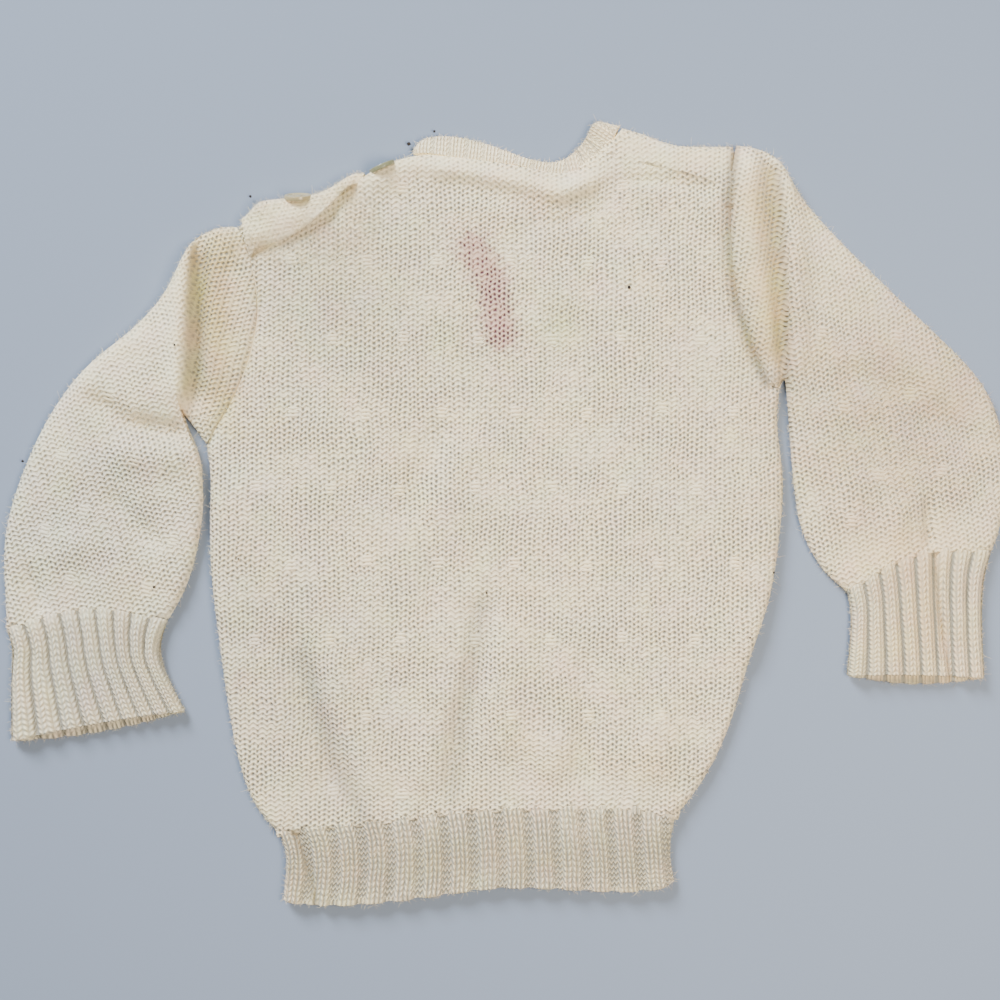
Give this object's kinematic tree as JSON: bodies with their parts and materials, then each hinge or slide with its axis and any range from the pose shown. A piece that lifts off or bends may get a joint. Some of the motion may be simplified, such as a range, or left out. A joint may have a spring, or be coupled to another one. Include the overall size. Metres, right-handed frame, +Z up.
{
  "type": "laid-flat wool sweater",
  "caption": "Hand-knitted baby pullover laid flat with its back up: ribbed hem, cuffs and neckband, buttoned shoulder, sleeves folded down.",
  "frame": {"origin": "bottom centre of the garment's bounding box, on the surface that it lies on", "axes": "+Z up from the surface, +X across the body towards the wearer's right sleeve, +Y from the hem towards the neck"},
  "size_m": [0.46, 0.3592, 0.0128],
  "materials": {
    "knit": "plain hand knitting in cream wool, purl side out, soft and slightly fuzzy, with faint stains",
    "rib": "two by two ribbing in cream wool, soft and slightly fuzzy",
    "button": "smooth translucent beige plastic"
  },
  "bodies": {
    "root": {"back": "knit", "front": "knit", "back_hem_rib": "rib", "front_hem_rib": "rib", "left_sleeve": "knit", "right_sleeve": "knit", "left_cuff": "rib", "right_cuff": "rib", "buttonhole_band": "knit", "neckband": "rib", "button_1": "button", "button_2": "button"}
  },
  "joints": []
}
